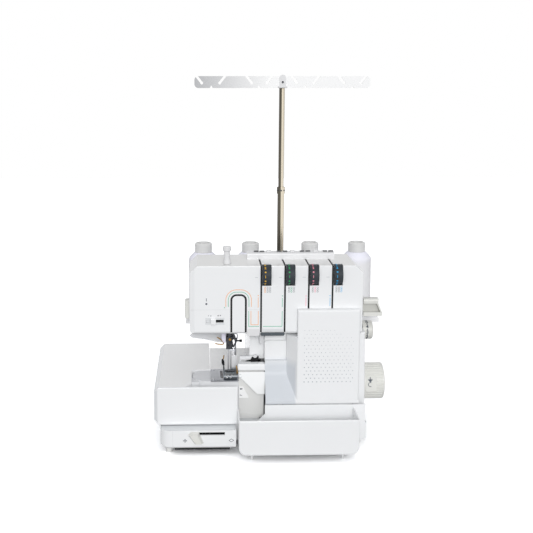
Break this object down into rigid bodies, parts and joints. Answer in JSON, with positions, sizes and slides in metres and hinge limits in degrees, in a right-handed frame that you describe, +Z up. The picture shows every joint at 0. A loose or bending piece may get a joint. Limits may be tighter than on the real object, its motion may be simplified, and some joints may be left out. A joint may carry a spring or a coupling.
{
  "type": "overlock sewing machine",
  "caption": "Overlock sewing machine with thread tension dials on the head, extension table, trim bin, front looper cover, handwheel and telescopic thread stand with cones.",
  "frame": {"origin": "on the table, under the middle of the machine box", "axes": "+Z up, +X towards the handwheel, +Y towards the spool tray"},
  "size_m": [0.409, 0.298, 0.632],
  "materials": {
    "shell_white": "moulded white, satin gloss",
    "grey_plastic": "moulded grey, fine texture",
    "control_grey": "moulded warm light grey",
    "rail_white": "moulded white",
    "bar_clear": "translucent light grey",
    "dial_charcoal": "charcoal, ribbed edge",
    "pole_nickel": "satin nickel",
    "steel": "polished steel",
    "dark_steel": "dark oxide",
    "cone_plastic": "moulded white",
    "thread": "wound white thread",
    "cast_frame": "as cast",
    "bronze": "sintered bronze",
    "motor_black": "black moulding",
    "pulley_black": "black nylon",
    "rubber": "black rubber",
    "foot_rubber": "white rubber",
    "board_green": "green laminate",
    "lamp_lens": "frosted lens"
  },
  "bodies": {
    "machine": {"head_housing": "shell_white", "column_housing": "shell_white", "base_pan": "shell_white", "head_back_cover": "shell_white", "bed_cover": "shell_white", "knife_cover": "shell_white", "lower_front_panel": "shell_white", "spool_tray": "shell_white", "looper_bay_panel": "shell_white", "free_arm": "grey_plastic", "thread_rail": "rail_white", "spool_pins": "rail_white", "pole_lower_tube": "pole_nickel", "needle_plate": "steel", "lower_knife": "steel", "case_screws": "steel", "cone_cores": "cone_plastic", "thread_packs": "thread", "inner_frame": "cast_frame", "tension_frame": "cast_frame", "shaft_bushes": "bronze", "head_bushes": "bronze", "motor": "motor_black", "air_pump": "motor_black", "power_inlet": "motor_black", "drive_belt": "rubber", "rubber_feet": "foot_rubber", "circuit_board": "board_green", "led_lamp": "lamp_lens"},
    "drive_shaft": {"handwheel": "control_grey", "main_shaft": "steel", "shaft_pulley": "pulley_black"},
    "motor_rotor": {"motor_pulley": "pulley_black"},
    "needle_unit": {"needle_bar": "steel", "needle_clamp": "dark_steel", "needles": "steel"},
    "upper_looper": {"upper_looper": "steel"},
    "lower_looper": {"lower_looper": "steel"},
    "upper_knife": {"upper_knife": "dark_steel"},
    "feed_dog": {"feed_dog": "steel"},
    "presser_unit": {"presser_bar": "steel", "presser_foot": "steel"},
    "presser_lever": {"presser_lever": "control_grey"},
    "pressure_knob": {"pressure_knob": "rail_white"},
    "threader_slide": {"threader_slide": "shell_white"},
    "mode_lever": {"mode_lever": "control_grey"},
    "needle_threader_lever": {"needle_threader_lever": "control_grey"},
    "threading_lever": {"threading_lever": "control_grey"},
    "feed_dial": {"feed_dial": "control_grey"},
    "power_switch": {"power_switch": "motor_black"},
    "front_cover": {"front_cover": "shell_white"},
    "trim_bin": {"trim_bin": "shell_white"},
    "flat_bed": {"flat_bed": "shell_white"},
    "thread_stand": {"pole_upper_tube": "pole_nickel", "guide_bar": "bar_clear", "guide_bar_cap": "rail_white"},
    "tension_dial_1": {"tension_dial_1": "dial_charcoal"},
    "tension_dial_2": {"tension_dial_2": "dial_charcoal"},
    "tension_dial_3": {"tension_dial_3": "dial_charcoal"},
    "tension_dial_4": {"tension_dial_4": "dial_charcoal"}
  },
  "joints": [
    {"name": "handwheel_turn", "type": "hinge", "parent": "machine", "child": "drive_shaft", "pos_m": [0.18, 0.004, 0.086], "axis": [1, 0, 0], "continuous": true},
    {"name": "motor_turn", "type": "hinge", "parent": "machine", "child": "motor_rotor", "pos_m": [0.132, 0.084, 0.11], "axis": [1, 0, 0], "continuous": true},
    {"name": "needle_stroke", "type": "slide", "parent": "machine", "child": "needle_unit", "axis": [0, 0, 1], "range_m": [-0.026, 0]},
    {"name": "upper_looper_swing", "type": "hinge", "parent": "machine", "child": "upper_looper", "pos_m": [-0.028, -0.0375, 0.084], "axis": [0, -1, 0], "range_deg": [0, 12.5]},
    {"name": "lower_looper_swing", "type": "hinge", "parent": "machine", "child": "lower_looper", "pos_m": [-0.028, -0.0275, 0.062], "axis": [0, -1, 0], "range_deg": [0, 12.5]},
    {"name": "upper_knife_stroke", "type": "slide", "parent": "machine", "child": "upper_knife", "axis": [0, 0, 1], "range_m": [-0.0061, 0]},
    {"name": "feed_dog_stroke", "type": "slide", "parent": "machine", "child": "feed_dog", "axis": [0, 1, 0], "range_m": [-0.0027, 0]},
    {"name": "presser_lift_turn", "type": "hinge", "parent": "machine", "child": "presser_lever", "pos_m": [-0.07, 0.008, 0.176], "axis": [0, 1, 0], "range_deg": [0, 15]},
    {"name": "presser_lift", "type": "slide", "parent": "machine", "child": "presser_unit", "axis": [0, 0, 1], "range_m": [0, 0.0061]},
    {"name": "pressure_turn", "type": "hinge", "parent": "machine", "child": "pressure_knob", "pos_m": [-0.08, -0.058, 0.33], "axis": [0, 0, 1], "range_deg": [-180, 180]},
    {"name": "threader_select", "type": "slide", "parent": "machine", "child": "threader_slide", "axis": [1, 0, 0], "range_m": [0, 0.013]},
    {"name": "mode_select", "type": "slide", "parent": "machine", "child": "mode_lever", "axis": [1, 0, 0], "range_m": [0, 0.046]},
    {"name": "needle_threader_push", "type": "slide", "parent": "machine", "child": "needle_threader_lever", "axis": [0, 0, 1], "range_m": [-0.025, 0], "stiffness_N_per_m": 60},
    {"name": "threading_push", "type": "hinge", "parent": "machine", "child": "threading_lever", "pos_m": [0.15, 0, 0.234], "axis": [1, 0, 0], "range_deg": [0, 15], "stiffness_Nm_per_rad": 1},
    {"name": "feed_dial_turn", "type": "hinge", "parent": "machine", "child": "feed_dial", "pos_m": [0.165, -0.028, 0.1907], "axis": [1, 0, 0], "range_deg": [-135, 135]},
    {"name": "power_rock", "type": "hinge", "parent": "machine", "child": "power_switch", "pos_m": [0.1555, 0.099, 0.071], "axis": [0, 1, 0], "range_deg": [-7, 7]},
    {"name": "front_cover_tilt", "type": "hinge", "parent": "machine", "child": "front_cover", "pos_m": [0.07, -0.0865, 0.081], "axis": [1, 0, 0], "range_deg": [0, 80]},
    {"name": "trim_bin_pull", "type": "slide", "parent": "machine", "child": "trim_bin", "axis": [0, -1, 0], "range_m": [0, 0.09]},
    {"name": "flat_bed_pull", "type": "slide", "parent": "machine", "child": "flat_bed", "axis": [-1, 0, 0], "range_m": [0, 0.11]},
    {"name": "pole_slide", "type": "slide", "parent": "machine", "child": "thread_stand", "axis": [0, 0, 1], "range_m": [-0.17, 0]},
    {"name": "tension_turn_1", "type": "hinge", "parent": "machine", "child": "tension_dial_1", "pos_m": [-0.0138, -0.0698, 0.3], "axis": [1, 0, 0], "range_deg": [-140, 140]},
    {"name": "tension_turn_2", "type": "hinge", "parent": "machine", "child": "tension_dial_2", "pos_m": [0.0262, -0.0698, 0.3], "axis": [1, 0, 0], "range_deg": [-140, 140]},
    {"name": "tension_turn_3", "type": "hinge", "parent": "machine", "child": "tension_dial_3", "pos_m": [0.0662, -0.0698, 0.3], "axis": [1, 0, 0], "range_deg": [-140, 140]},
    {"name": "tension_turn_4", "type": "hinge", "parent": "machine", "child": "tension_dial_4", "pos_m": [0.1062, -0.0698, 0.3], "axis": [1, 0, 0], "range_deg": [-140, 140]}
  ],
  "couplings": [
    {"joint": "motor_turn", "follows": "handwheel_turn", "ratio": 2.4444},
    {"joint": "upper_looper_swing", "follows": "needle_stroke", "rad_per_m": -8},
    {"joint": "lower_looper_swing", "follows": "needle_stroke", "rad_per_m": -8},
    {"joint": "upper_knife_stroke", "follows": "needle_stroke", "ratio": 0.23},
    {"joint": "feed_dog_stroke", "follows": "needle_stroke", "ratio": 0.1},
    {"joint": "presser_lift", "follows": "presser_lift_turn", "m_per_rad": 0.022918}
  ]
}
